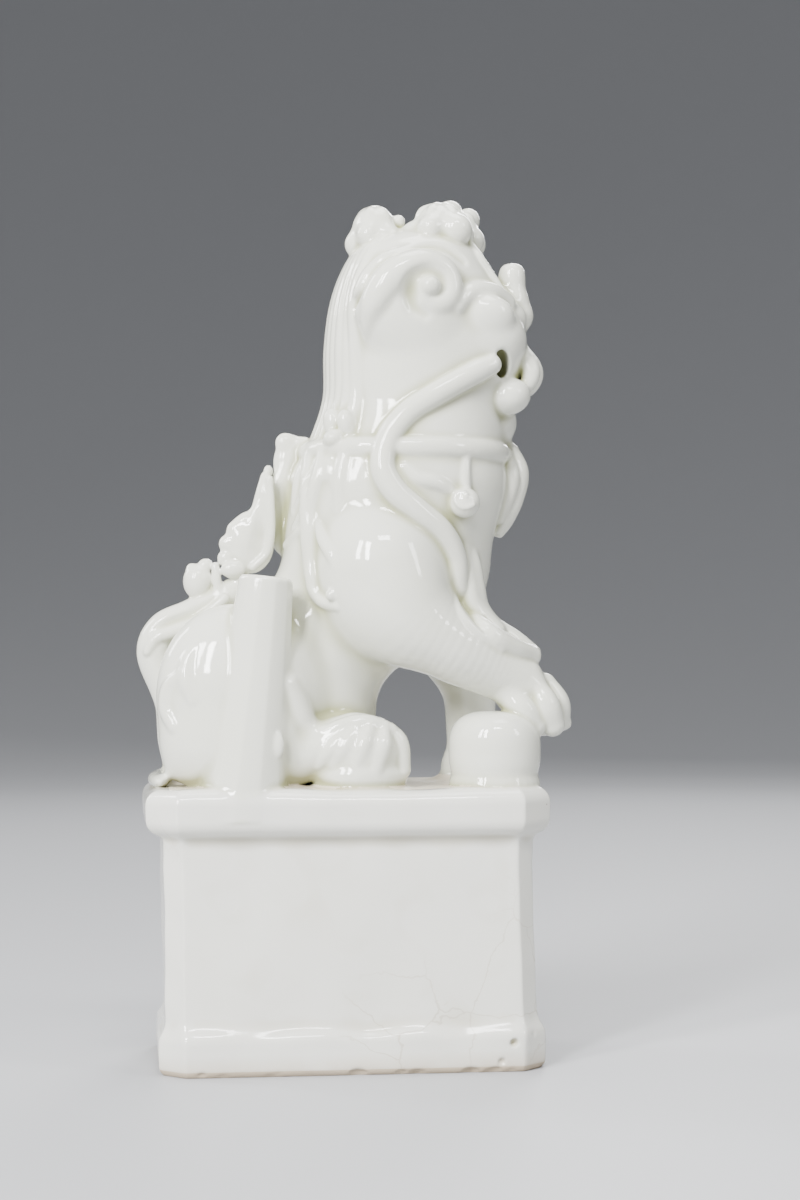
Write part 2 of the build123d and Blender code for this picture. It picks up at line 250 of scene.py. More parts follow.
def skin(hosts, start, way, sink=0.0):
    """The point where a line from start last leaves the hosts' clay, moved in by sink.

    A line that misses the clay gives the point where it passes closest.
    """
    start, way = np.array(start, float), np.array(way, float) / np.linalg.norm(way)
    reach = np.arange(34.0, 0.0, -0.5 * STEP)
    line = (start + reach[:, None] * way - GRID_LOW) / STEP
    value = np.full(len(reach), FAR)
    for host in hosts:
        value = smooth_min(value, sample(host.d, line - host.start), 3.0)
    inside = np.flatnonzero(value < 0)
    if not len(inside) or inside[0] == 0:
        return start + way * (reach[int(np.argmin(value))] - sink)
    i = inside[0]
    share = value[i - 1] / (value[i - 1] - value[i])
    return start + way * (reach[i - 1] - 0.5 * STEP * share - sink)


def laid(hosts, s, points, sink):
    """Strand points on the lion's side, from points given as X, Z and radius."""
    return [(*skin(hosts, (x, 0, z), (0, s, 0), sink), r) for x, z, r in points]


def round_back(hosts, degrees, x, levels, sink):
    """Strand points down the lion's back: levels are Z and radius, degrees is from the face."""
    a = math.radians(degrees)
    way = (math.cos(a), math.sin(a), 0)
    return [(*skin(hosts, (x, 0, z), way, sink), r) for z, r in levels]


def drum(centre, radius, half_height, power):
    """A round form between a ball (power 2) and a drum (a high power)."""
    centre = np.array(centre, float)
    size = np.array([radius, radius, half_height])

    def distance(x, y, z):
        rho = np.sqrt((x - centre[0]) ** 2 + (y - centre[1]) ** 2)
        share = (rho / radius) ** power + (np.abs(z - centre[2]) / half_height) ** power
        return (share ** (1 / power) - 1) * min(radius, half_height)

    return centre - size, centre + size, distance


LEAN = 1.2  # how far the plinth's foot stands forward of its top, mm


def box_with_cut_corners(half_x, half_y, corner, low, high, round_edge):
    """An upright block with chamfered corners and rounded edges."""
    top = np.array([half_x + LEAN, half_y, high])

    def distance(x, y, z):
        x = x - LEAN * (1 - z / DECK)
        qx, qy = np.abs(x) - (half_x - round_edge), np.abs(y) - (half_y - round_edge)
        diagonal = (qx + qy + (corner - round_edge * 0.6)) / math.sqrt(2)
        side = np.maximum(np.maximum(qx, qy), diagonal)
        up = np.abs(z - (low + high) / 2) - ((high - low) / 2 - round_edge)
        outside = np.sqrt(np.maximum(side, 0) ** 2 + np.maximum(up, 0) ** 2)
        return outside + np.minimum(np.maximum(side, up), 0) - round_edge

    return np.array([-half_x - LEAN, -half_y, low]), top, distance


# --- plinth: one field, shared out by place when the faces are drawn --------------------
WALL_X, WALL_Y = 37.6, 21.5  # half length and half depth of the walls
plinth = Clay((-44, -27, 0), (44, 27, 60), 3.0)
plinth.add(box_with_cut_corners(WALL_X, WALL_Y, 3.6, 1.0, 56.0, 0.8))
plinth.add(box_with_cut_corners(41.1, 24.8, 6.2, 47.6, DECK, 3.2), 1.6)
plinth.add(box_with_cut_corners(38.9, 23.2, 5.0, 0.0, 8.2, 1.6), 3.2)
plinth.cut(box_with_cut_corners(33.6, 17.5, 1.0, -6.0, 53.0, 1.5), 0.5)


def uneven(x, y, z):
    """How far the hand-built plinth's skin strays from true, in mm."""
    slow = np.sin(0.11 * x + 0.4 * np.sin(0.09 * z) + 1.3) * np.cos(0.13 * z + 0.07 * y)
    quick = np.sin(0.37 * x + 0.21 * z) * np.sin(0.29 * z - 0.33 * y + 0.6)
    low_edge = np.exp(-np.abs(z - 8.0) / 3.0) * (np.sin(0.31 * x + 1.1 * np.sin(0.17 * y)))
    return 0.30 * slow + 0.11 * quick + 0.35 * low_edge


cut, x, y, z = plinth.window(np.array([-44, -27, 1.0]), np.array([44, 27, 60]))
plinth.d[cut] += (uneven(x, y, z) * np.clip(z / 4.0, 0, 1)).astype(np.float32)
RIM_X, RIM_Y, CHIP_BLEND = 39.8, 23.4, 0.3  # where the foot's edge is chipped, and how softly
chips = np.random.default_rng(7)
for _ in range(26):
    along, up, size = chips.uniform(-37, 38), chips.uniform(-0.2, 0.7), chips.uniform(0.5, 1.3)
    at = (along, chips.choice((-RIM_Y, RIM_Y)), up)
    plinth.cut(ball(at, (size * 1.6, size, size * 0.8)), CHIP_BLEND)
for _ in range(12):
    along, size = chips.uniform(-20, 20), chips.uniform(0.5, 1.2)
    at = (chips.choice((-RIM_X, RIM_X)), along, 0.2)
    plinth.cut(ball(at, (size, size * 1.6, size * 0.8)), CHIP_BLEND)
for *at, size in (
    (38.4, -22.4, 7.6, 1.5), (33.0, -23.6, 6.0, 0.9), (36.0, -23.9, 4.6, 0.7),
    (-39.0, -22.6, 48.0, 1.1), (30.5, -23.6, 2.2, 0.8),
):
    plinth.cut(ball(at, size), CHIP_BLEND)
for crack in (
    [(-42.5, -24.6, 48.3, 0.4), (-39.0, -23.6, 47.4, 0.45), (-35.0, -22.4, 47.7, 0.2)],
    [(-39.6, -20.0, 33.0, 0.2), (-37.6, -21.8, 32.6, 0.3), (-36.4, -22.6, 32.9, 0.1)],
):
    plinth.cut(strand(crack), 0.2)

# --- body halves ------------------------------------------------------------------------
body = piece("body", (-43, -26, 56), (38, 26, 136), 0.0, 9.0)
body.add(ball((-19.0, 0, 71.5), (18.8, 12, 17.5)))
body.add(ball((-7, 0, 84), (17, 12.5, 16), (0, -42, 0)), 7)
body.add(ball((10.0, 0, 106), (22.0, 17.6, 25)), 8)
body.add(ball((13.6, 0, 121), (22.0, 18.2, 15)), 7)
body.add(ball((-7, 0, 66), (15, 11, 15)), 7)
body.add(ball((-38.0, 0, 58.2), (2.2, 14, 1.6)), 2)
for side, s in SIDES:
    body.add(ball((-22.0, 10.5 * s, 75.0), (16.6, 10.5, 19.5), (0, -8, 0)), 3.5)
    body.add(ball((-22.5, 11.5 * s, 65.0), (14.5, 9.5, 9.5)), 5)
    body.add(ball((7.6, 13.4 * s, 99.5), (12.6, 8.4, 15.5), (0, -14, 0)), 3.0)
body.cut(ball((14.6, 0, 70), (6.6, 90, 12.2)), 1.5)
for side, s in SIDES:
    thigh = [(-9.0, 60, 1.6), (-7.6, 66, 2.0), (-9.4, 72, 2.1), (-12.4, 78, 1.8)]
    body.add(strand(laid([body], s, thigh, 1.2)), 1.6)
    for x, z, lean in ((-30.6, 86.0, 0.2), (-33.8, 80.5, 0.8)):
        flame = [
            (x, z, 0.6), (x - 1.6 - lean, z - 3.2, 1.5), (x - 1.9 - lean, z - 7.4, 1.7),
            (x - 0.4 - lean, z - 11.0, 1.3),
        ]
        body.add(strand(laid([body], s, flame, 1.0)), 0.9)

# --- head -------------------------------------------------------------------------------
head = piece("head", (-9, -23, 120), (44, 23, 180), 3.0, 9.0)
head.add(ball((16.3, 0, 140), (19.2, 16.6, 23.5)))
head.add(ball((16.6, 0, 156), (17.4, 16.4, 16.6)), 8)
head.add(ball((15.2, 0, 129), (19.0, 17.0, 11)), 4)
head.add(ball((29.6, 0, 149.5), (9.4, 11.6, 10.5)), 8)
head.add(ball((16.5, 0, 166), (13.0, 12.0, 7.5)), 5)
for side, s in SIDES:
    head.add(ball((31.6, 9.0 * s, 150.8), (5.6, 4.8, 4.4), (0, 20, 0)), 4.5)
    head.add(ball((12.6, 13.4 * s, 157.0), (11.4, 6.0, 11.0), (0, -12, 0)), 2.5)
    crease = [
        (0.2, 149, 0.7), (1.4, 154, 0.9), (2.9, 159, 1.0), (5.8, 164.0, 1.0),
        (10.4, 167.2, 1.0), (15.6, 168.6, 0.9), (20.6, 168.4, 0.8), (24.6, 165.8, 0.6),
    ]
    head.cut(strand(laid([head], s, crease, -0.3)), 1.2)
    head.cut(ball((32.5, 11.0 * s, 144.6), (1.7, 6.0, 2.9), (0, -8, 0)), 0.8)
    fold = [
        (27.4, 170.4, 0.6), (28.6, 167.4, 0.9), (30.4, 164.6, 1.0), (32.4, 161.6, 0.9),
        (34.0, 159.0, 0.6),
    ]
    head.add(strand(laid([head], s, fold, -0.1)), 1.0)
lion = [body, head]

# --- limbs ------------------------------------------------------------------------------
raised_leg = piece("foreleg_right", (0, -26, 70), (44, 0, 118), 7.0, 8.0)
raised_leg.add(
    strand(
        [(8.0, -13.4, 102, 8.2), (12.0, -14.6, 92, 8.2), (20.4, -14.0, 86.4, 7.4),
         (29.6, -11.6, 81.8, 6.3), (36.0, -10.0, 78.6, 5.6)], reach=6.0
    )
)
lion.append(raised_leg)
standing_leg = piece("foreleg_left", (0, 0, 56), (40, 26, 118), 6.0, 8.0)
standing_leg.add(
    strand(
        [(9.0, 13.4, 104, 8.4), (19, 13.4, 92, 7.6), (28.3, 12.4, 79, 6.0),
         (29.6, 12.0, 68, 5.3), (30.0, 12.0, 60, 5.8)], reach=6.0
    )
)
paw = piece("forepaw_right", (26, -20, 60), (52, 2, 86), 1.6)
paw.add(ball((38.4, -9.4, 74.4), (8.8, 5.6, 5.4), (0, 44, 0)))
for toe in (
    [(34.0, -12.8, 75.8, 2.8), (36.4, -13.9, 72.6, 3.2), (38.8, -13.3, 69.6, 2.8)],
    [(39.4, -12.4, 77.4, 2.2), (41.4, -13.5, 73.6, 2.9), (43.0, -12.5, 69.7, 2.6)],
    [(42.2, -8.8, 78.0, 2.2), (44.6, -8.9, 74.0, 2.7), (45.1, -8.3, 70.3, 2.4)],
    [(41.4, -4.8, 76.4, 2.2), (43.8, -4.2, 72.8, 2.5), (44.4, -4.4, 69.9, 2.2)],
):
    paw.add(strand(toe), 0.35)
paw.add(ball((46.9, -8.2, 69.8), (0.9, 1.1, 1.2)), 0.6)
paw = piece("forepaw_left", (20, 2, 54), (48, 23, 72), 1.8)
paw.add(ball((32.6, 12.0, 60.6), (9.0, 6.4, 5.0)))
for y, x in ((7.4, 38.6), (10.6, 40.0), (13.8, 40.0), (16.8, 38.4)):
    toe = [(31.5, y, 63.6, 1.9), (x - 2.6, y, 62.4, 2.2), (x, y, 59.4, 2.0)]
    paw.add(strand(toe), 0.6)

for side in SIDES:
    s = side[1]
    foot = sided("hind_foot", side, (-16, 2, 54), (16, 26, 82), 2.4)
    hock = [(-12.5, 12.6 * s, 62.4, 5.0), (-5, 13.8 * s, 65.0, 5.2), (1, 14.0 * s, 66.6, 5.0)]
    foot.add(strand(hock))
    foot.add(ball((3.2, 13.8 * s, 64.2), (8.4, 7.6, 7.4)), 3)
    foot.add(ball((3.0, 13.4 * s, 59.4), (9.6, 8.2, 3.6)), 2)
    for y in (9.4, 12.8, 16.2):
        toe = [(6.4, y * s, 69.6, 1.7), (10.2, y * s, 66.4, 2.1), (11.0, y * s, 60.6, 1.9)]
        foot.add(strand(toe), 0.5)
    for route in (
        [(-6.4, 67.6, 0.6), (-2.0, 69.4, 1.4), (3.6, 70.4, 1.6), (8.6, 68.9, 1.2)],
        [(-0.6, 68.4, 0.6), (-3.2, 65.2, 1.4), (-6.0, 61.8, 0.9)],
        [(1.6, 69.6, 0.6), (-0.8, 65.6, 1.3), (-3.2, 62.0, 0.9)],
        [(4.4, 69.8, 0.8), (3.0, 66.2, 1.6), (1.6, 62.4, 1.1)],
        [(7.4, 69.4, 0.9), (6.8, 65.6, 1.8), (5.4, 61.0, 1.3)],
    ):
        foot.add(strand(laid([foot], s, route, 0.9)), 0.8)

# --- ball, tube, collar and ribbon ------------------------------------------------------
bead = piece("ball", (19, -25, 54), (43, 0, 75), 0.5)
bead.add(drum((30.8, -12.7, 64.3), 9.5, 8.2, 2.9))
ring = [
    (30.8 + 8.1 * math.cos(a), -12.7 + 8.1 * math.sin(a), 57.4, 1.3)
    for a in np.linspace(0, 2 * math.pi, 17)
]
bead.add(strand(ring, steps=2), 2.0)

TUBE_FOOT, TUBE_MOUTH = np.array([-21.4, -15.8, 55.0]), np.array([-16.6, -15.8, 99.9])
TUBE_RADII, TUBE_BORE, TUBE_FACETS, TUBE_ROUND = (8.9, 5.45), 2.9, 12, 0.9
PARED = 0.55  # how flat the facets are pared, from 0 for round to 1 for flat


def tapered_tube(x, y, z):
    """A pared cone between the tube's foot and mouth, with soft facets and a rounded lip."""
    axis = TUBE_MOUTH - TUBE_FOOT
    length = np.linalg.norm(axis)
    axis = axis / length
    px, py, pz = x - TUBE_FOOT[0], y - TUBE_FOOT[1], z - TUBE_FOOT[2]
    along = px * axis[0] + py * axis[1] + pz * axis[2]
    u, v = px * axis[2] - pz * axis[0], py + 0 * px
    rho = np.sqrt(u * u + v * v)
    turn = 2 * math.pi / TUBE_FACETS
    angle = np.mod(np.arctan2(v, u) + 0.2, turn) - turn / 2
    faceted = rho * (1 - PARED + PARED * np.cos(angle) / math.cos(turn / 3))
    radius = TUBE_RADII[0] + (TUBE_RADII[1] - TUBE_RADII[0]) * along / length
    edge, up = faceted - radius + TUBE_ROUND, along - length + TUBE_ROUND
    outside = np.sqrt(np.maximum(edge, 0) ** 2 + np.maximum(up, 0) ** 2)
    return outside + np.minimum(np.maximum(edge, up), 0) - TUBE_ROUND


tube = piece("joss_stick_tube", (-32, -26, 55), (-9, -5, 101), 1.0)
tube.add((np.array([-32, -26, 55]), np.array([-9, -5, 101]), tapered_tube))
tube.add(ball((-14.4, -21.4, 66.0), (1.1, 0.9, 2.4)), 0.9)

collar = piece("collar", (-10, -24, 118), (42, 24, 136), 0.7)
ring = []
for i in range(33):
    a = 2 * math.pi * i / 32
    band = skin(lion, (15.0, 0, 126.5), (math.cos(a), math.sin(a), 0), 0.9)
    ring.append((*band, 2.25))
collar.add(strand(ring, steps=2))
lion.append(collar)

ribbon = piece("ribbon", (2, -28, 76), (46, -2, 150), 0.6)
route = [
    (30.0, 144.1, 2.2), (27.0, 142.6, 2.5), (23.4, 140.6, 2.5), (18.0, 137.4, 2.5),
    (12.4, 133.6, 2.5), (8.4, 128.4, 2.6), (7.0, 122.4, 2.6), (9.4, 117.4, 2.6),
    (14.0, 113.4, 2.6), (19.2, 109.2, 2.6), (22.2, 104.2, 2.5), (23.0, 98.0, 2.4),
    (24.4, 93.0, 2.4), (28.6, 88.6, 2.3), (34.0, 85.6, 2.3), (39.0, 83.9, 2.1),
]
ribbon.add(strand(laid([body, head, raised_leg], -1, route, 0.1)))
fold = [
    (21.6, 105.6, 0.6), (20.9, 101.0, 1.1), (21.2, 96.4, 1.2), (22.8, 92.2, 1.2),
    (26.4, 88.4, 1.1), (31.4, 85.2, 0.9),
]
ribbon.add(strand(laid([body, raised_leg], -1, fold, 0.3)), 0.5)
lap = [
    (23.8, -11.5, 106, 2.2), (24.8, -11.5, 99, 2.8), (26.2, -11.6, 93.6, 2.8),
    (31.0, -11.4, 88.8, 2.4),
]
ribbon.add(strand(lap))
fold = [
    (24.6, 108.6, 0.7), (26.0, 103.6, 2.1), (26.6, 98.2, 2.6), (27.6, 93.6, 2.6),
    (30.8, 89.8, 2.4), (35.6, 87.0, 2.2), (39.8, 84.6, 1.5),
]
ribbon.add(strand([(x, -10.6 + 0.14 * (x - 25), z, r) for x, z, r in fold]), 0.7)

# --- trimmings --------------------------------------------------------------------------
for side in SIDES:
    s = side[1]
    boss = sided("collar_boss", side, (-8, 1, 124), (6, 25, 139), 0.6)
    for degrees, z, r, high in (
        (150, 131.8, 2.1, 3.3), (139, 131.8, 1.8, 2.8), (145, 128.6, 2.3, 1.9),
    ):
        a = math.radians(degrees)
        at = skin([body, head], (14.0, 0, z), (math.cos(a), s * math.sin(a), 0), -1.3)
        boss.add(ball(at, (r, r, high), (0, -12, 0)), 0.5)
    bell = sided("bell", side, (9, 10, 110), (31, 27, 130), 0.6)
    strap = [(24.3, 125, 1.2), (24.2, 121.5, 1.2), (24.0, 118.0, 1.5)]
    bell.add(strand(laid([body], s, strap, 0.5)))
    knob = skin([body], (24.0, 0, 115.2), (0, s, 0), -1.2)
    bell.add(ball(knob, (3.15, 2.9, 3.1)), 0.5)
    swirl = [
        (23.4 + r * math.cos(a), 116.2 + r * math.sin(a), 0.55)
        for a, r in zip(np.linspace(0.4, 5.6, 9), np.linspace(0.5, 2.5, 9))
    ]
    bell.add(strand(laid([bell], s, swirl, 0.1), steps=3), 0.3)
    flap = [(11.4, 122.4, 0.8), (14.6, 120.0, 1.4), (18.2, 119.0, 1.5), (22.0, 117.2, 1.0)]
    bell.add(strand(laid([body], s, flap, 0.5)), 0.6)

tassel = piece("front_tassel", (28, -8, 106), (44, 8, 130), 0.9)
tassel.add(
    strand([(36.4, 0, 127, 2.0), (37.2, 0, 122.6, 3.1), (36.4, 0, 117.6, 2.9),
            (35.2, 0, 113.0, 2.0), (34.0, 0, 110.0, 1.1)])
)
for y in (-3.0, 3.0):
    tassel.add(
        strand([(35.4, 0.5 * y, 126, 1.5), (35.8, y, 121.6, 2.0), (35.0, y * 0.9, 117.0, 1.7),
                (33.8, 0.6 * y, 112.6, 0.9)]), 0.4
    )

# --- face -------------------------------------------------------------------------------
nose = piece("nose", (29, -9, 149), (45, 9, 163), 1.6)
nose.add(ball((37.3, 0, 156.3), (4.0, 3.6, 3.9)))
for side, s in SIDES:
    nose.add(ball((35.4, 4.6 * s, 155.2), (3.5, 3.0, 3.2)), 1.2)
knob = piece("forehead_knob", (29, -8, 156), (43, 8, 172), 1.4)
knob.add(drum((36.7, 0, 163.4), 2.9, 4.0, 3.0))
knob.add(ball((37.0, 0, 159.6), (3.2, 3.4, 2.6)), 1.5)
lip = piece("upper_lip", (30, -10, 134), (46, 10, 155), 0.8)
for y, out in ((0.0, 0.0), (-3.2, 0.3), (3.2, 0.3), (-6.2, 1.5), (6.2, 1.5)):
    lip.add(
        strand([(36.2 - out, y * 0.6, 151.0, 1.3), (38.8 - out, y * 0.8, 147.8, 1.9),
                (41.1 - out, y, 144.2, 2.0), (40.6 - out, y, 141.2, 1.7),
                (38.2 - out, y * 0.9, 138.8, 0.8)]), 0.25
    )
for side in SIDES:
    s = side[1]
    jowl = sided("lower_lip", side, (26, 0, 131), (43, 17, 147), 0.7)
    jowl.add(ball((34.6, 7.6 * s, 138.2), (4.7, 4.7, 3.9), (0, -8, 0)))
chin = piece("chin", (26, -10, 127), (42, 10, 141), 2.0)
chin.add(ball((32.4, 0, 133.4), (5.2, 6.2, 5.4)))

for side in SIDES:
    s = side[1]
    eye = sided("eye", side, (20, 4, 148), (37, 22, 164), 2.0)
    eye.add(ball(skin([head], (29.4, 0, 154.8), (0, s, 0), 1.1), (5.4, 3.3, 3.8), (0, 6, 0)))
    brow = sided("brow", side, (17, 2, 150), (39, 22, 170), 1.5)
    lid = [
        (22.8, 155.6, 0.9), (24.4, 158.0, 1.6), (27.2, 159.4, 1.9), (31.0, 159.5, 1.9),
        (34.6, 158.0, 1.4),
    ]
    brow.add(strand(laid([head], s, lid, 0.2)))

    ear = sided("ear", side, (0, 8, 144), (28, 26, 174), 1.0)
    ridge = [
        (4.4, 149.4, 0.5), (4.4, 152.2, 1.6), (5.6, 156.2, 3.0), (8.4, 160.4, 3.6),
        (12.2, 163.2, 3.4), (16.2, 164.2, 3.1), (19.6, 162.8, 2.9), (21.0, 159.8, 2.7),
        (20.2, 157.0, 2.5), (17.8, 155.8, 2.0), (15.6, 156.8, 1.4),
    ]
    ear.add(strand(laid([head], s, ridge, 1.3)))
    ear.add(ball(skin([head], (16.4, 0, 159.6), (0, s, 0), 0.0), (2.5, 2.2, 2.4)), 0.9)
    valley = [
        (18.8, 161.0, 0.4), (16.6, 162.2, 0.9), (13.6, 161.0, 1.3), (12.6, 158.2, 1.6),
        (13.2, 155.2, 1.4), (15.4, 153.4, 0.8),
    ]
    hollow = strand(laid([head, ear], s, valley, -0.2))
    ear.cut(hollow, 1.6)
    head.cut(hollow, 1.6)

# --- crown and mane ---------------------------------------------------------------------
BUDS = 5  # round each crown curl
curls = {  # centre, radii, spread of the buds, their height and size, and the knobs on top
    "rear": (
        (7.2, 0.0, 174.0), (4.7, 5.0, 4.9), (3.2, 4.2), 171.8, 2.8,
        [((12.2, -0.6, 175.6), (1.5, 1.6, 1.6))],
    ),
    "right": (
        (20.4, -4.4, 174.2), (4.8, 5.0, 4.9), (4.6, 4.2), 172.8, 3.1,
        [((22.8, -3.4, 177.6), (2.6, 2.6, 2.3)), ((24.6, -4.6, 174.6), (2.3, 2.4, 3.0))],
    ),
    "left": (
        (26.0, 4.6, 174.4), (4.2, 4.6, 4.6), (3.4, 3.8), 172.4, 2.6,
        [((28.0, 5.4, 177.4), (2.6, 2.8, 2.7))],
    ),
}
for name, (centre, radii, spread, low, size, knobs) in curls.items():
    x, y, z = centre
    curl = piece(f"crown_curl_{name}", (x - 10, y - 10, z - 8), (x + 10, y + 10, z + 8), 1.0)
    curl.add(ball(centre, radii))
    for k in range(BUDS):
        a = 2 * math.pi * (k + 0.35) / BUDS
        grow = 1.0 + 0.16 * math.sin(3.0 * k + x)
        out_x, out_y = spread[0] * math.cos(a), spread[1] * math.sin(a)
        bud = (x + out_x, y + out_y, low + 0.8 * math.sin(2.3 * k))
        curl.add(ball(bud, size * grow), 1.3)
        rib = [
            (x + 0.3 * out_x, y + 0.3 * out_y, z + radii[2] - 0.6, 0.7),
            (x + 0.8 * out_x, y + 0.8 * out_y, z + 0.55 * radii[2], 1.1),
            (*bud, 0.9),
        ]
        curl.add(strand(rib), 0.5)
    for at, knob_radii in knobs:
        curl.add(ball(at, knob_radii), 0.6)

levels = [
    (171, 1.2), (166, 1.6), (158, 1.7), (148, 1.7),
    (138, 1.7), (129, 1.6), (121, 1.5), (114, 1.0),
]
fans = {  # degrees from the face
    "right": (-170, -162, -154, -146, -138),
    "centre": (178, -178),
    "left": (170, 162, 154, 146, 138),
}
for side, degrees in fans.items():
    nape = piece(f"nape_mane_{side}", (-14, -21, 106), (18, 21, 176), 0.9)
    for number, a in enumerate(degrees):
        down = levels[: len(levels) - number % 2]  # every second strand is shorter
        nape.add(strand(round_back([body, head], a, 14.0, down, 0.8)), 0.5)

for side in SIDES:
    s = side[1]
    lock = sided("side_lock", side, (-16, 4, 88), (8, 27, 130), 0.7)
    for sink, route in (
        (1.3, [(-6.8, 125, 1.5), (-7.2, 116, 2.1), (-7.0, 108, 2.2), (-6.8, 101, 1.7)]),
        (0.2, [(-4.6, 125.2, 1.0), (-5.4, 121.0, 1.5), (-6.6, 116.6, 1.5), (-7.2, 112.4, 0.9)]),
        (0.6, [(-5.6, 122.4, 0.9), (-7.6, 118.8, 1.3), (-9.6, 115.0, 0.5)]),
        (0.6, [(-6.0, 117.0, 0.9), (-8.0, 113.8, 1.3), (-10.2, 110.4, 0.5)]),
        (0.6, [(-6.4, 112.4, 0.9), (-8.8, 109.8, 1.2), (-11.8, 107.0, 0.5)]),
        (0.6, [(-4.2, 125.6, 0.8), (-3.4, 122.6, 1.1), (-2.8, 119.6, 0.4)]),
        (0.3, [(-5.8, 111.4, 0.6), (-4.8, 108.0, 1.4), (-3.6, 104.6, 1.2), (-2.4, 101.2, 0.4)]),
        (0.3, [(-7.2, 105.4, 1.1), (-6.8, 100.4, 1.6), (-6.2, 97.0, 1.5), (-4.6, 94.9, 1.4),
               (-2.2, 93.8, 0.9)]),
    ):
        lock.add(strand(laid([body], s, route, sink)), 0.5)
    lock.add(ball(skin([body], (-3.4, 0, 96.2), (0, s, 0), -0.2), (1.3, 1.2, 1.3)), 0.4)

# --- tail -------------------------------------------------------------------------------
tail = piece("tail", (-46, -9, 64), (-14, 9, 106), 1.6)
tail.add(
    strand([(-34.0, 0, 70, 3.2), (-36.2, 0, 77, 3.6), (-38.8, 0, 84.4, 3.8), (-36.8, 0, 89.2, 3.8),
            (-31.8, 0, 91.8, 3.6), (-26.6, 0, 94.8, 3.2), (-21.0, 0, 98.2, 2.8)])
)
for s in (-1, 1):
    frill = [
        (-40.4, 84.6, 0.9), (-38.6, 87.4, 1.2), (-35.4, 88.6, 1.4), (-32.0, 89.8, 1.3),
        (-28.4, 92.2, 1.4), (-24.6, 95.6, 1.2),
    ]
    tail.add(strand([(x, 3.3 * s, z, r) for x, z, r in frill]), 0.6)
    groove = [(-39.6, 89.2, 0.5), (-35.4, 91.0, 0.8), (-31.0, 92.8, 0.8), (-26.4, 96.0, 0.6)]
    tail.cut(strand([(x, 3.6 * s, z, r) for x, z, r in groove]), 0.8)
bud = piece("tail_knob", (-35, -6, 93), (-22, 6, 107), 0.8)
bud.add(ball((-29.9, 0, 99.4), (3.1, 3.1, 3.7)))
bud.add(ball((-28.3, 0, 102.7), (1.6, 1.6, 1.5)), 0.4)
bud.add(ball((-31.2, 0, 101.8), (1.2, 1.3, 1.4)), 0.4)
wisp = [(-26.4, -1.6, 102.6, 0.8), (-26.0, -1.8, 99.4, 1.0), (-25.4, -1.6, 96.4, 0.9)]
bud.add(strand(wisp), 0.4)
leaf = piece("tail_leaf_low", (-30, -8, 92), (-8, 8, 127), 0.7)
leaf.add(ball((-19.2, -0.8, 107.4), (5.2, 2.5, 6.4)))
tip = [(-16.8, -1.0, 112, 2.6), (-16.1, -1.0, 117.6, 1.9), (-15.8, -0.8, 121.4, 1.1)]
leaf.add(strand(tip), 2.0)
for x, z, r in ((-24.0, 104.2, 1.9), (-23.6, 107.2, 2.0), (-22.2, 110.2, 1.7), (-20.0, 112.4, 1.4)):
    leaf.add(ball((x, -0.8, z), (r, 1.6, r)), 0.5)
leaf.add(
    strand([(-15.1, -2.4, 120.8, 0.8), (-14.9, -2.7, 116, 0.9), (-14.9, -3.0, 110, 1.0),
            (-15.6, -2.9, 105.4, 0.9), (-18.6, -2.7, 102.2, 0.8)]), 0.5
)
leaf.cut(strand([(-17.6, -3.6, 117, 0.7), (-17.0, -4.2, 111, 1.2), (-18.0, -4.4, 106, 1.2)]), 1.4)
leaf.add(ball((-22.6, -2.2, 101.8), (2.6, 1.6, 1.9)), 0.5)
leaf = piece("tail_leaf_middle", (-20, -6, 96), (-4, 8, 129), 0.7)
leaf.add(ball((-11.6, 1.4, 114.6), (4.0, 2.2, 9.8)))
leaf.add(ball((-15.2, 0.2, 122.6), (1.0, 1.1, 1.3)), 0.5)
leaf.add(strand([(-8.8, 0.2, 123.2, 0.9), (-8.6, 0.2, 118, 1.0), (-9.8, 0.2, 112, 0.9)]), 0.5)
leaf.cut(ball((-11.8, -1.8, 116), (2.4, 1.8, 7.4)), 1.0)
leaf = piece("tail_leaf_high", (-18, -5, 110), (-1, 9, 136), 0.7)
leaf.add(ball((-9.8, 2.2, 124.4), (4.2, 2.0, 6.0)))
leaf.add(ball((-11.5, 2.0, 128.8), (2.1, 1.5, 2.1)), 0.8)
leaf.add(ball((-7.6, 2.0, 128.4), (1.8, 1.4, 1.7)), 0.8)

# === melting the pieces together ======================================================
total = Clay(GRID_LOW, GRID_HIGH, 0.0)
best = np.full(total.d.shape, FAR, np.float32)
owner = np.zeros(total.d.shape, np.uint8)
for number, (name, clay, melt) in enumerate([("plinth", plinth, 0.0)] + pieces):
    low, high, distance = clay.as_shape()
    cut, x, y, z = total.window(low - clay.reach, high + clay.reach)
    own = distance(x, y, z)
    mine = own < best[cut]
    owner[cut][mine] = number
    best[cut] = np.minimum(best[cut], own)
    total.d[cut] = smooth_min(total.d[cut], own, melt)
del best

axis = (TUBE_MOUTH - TUBE_FOOT) / np.linalg.norm(TUBE_MOUTH - TUBE_FOOT)
total.reach = 1.0
total.cut(rod(TUBE_FOOT + axis * 12, TUBE_MOUTH + axis * 4, TUBE_BORE, TUBE_BORE), 0.6)


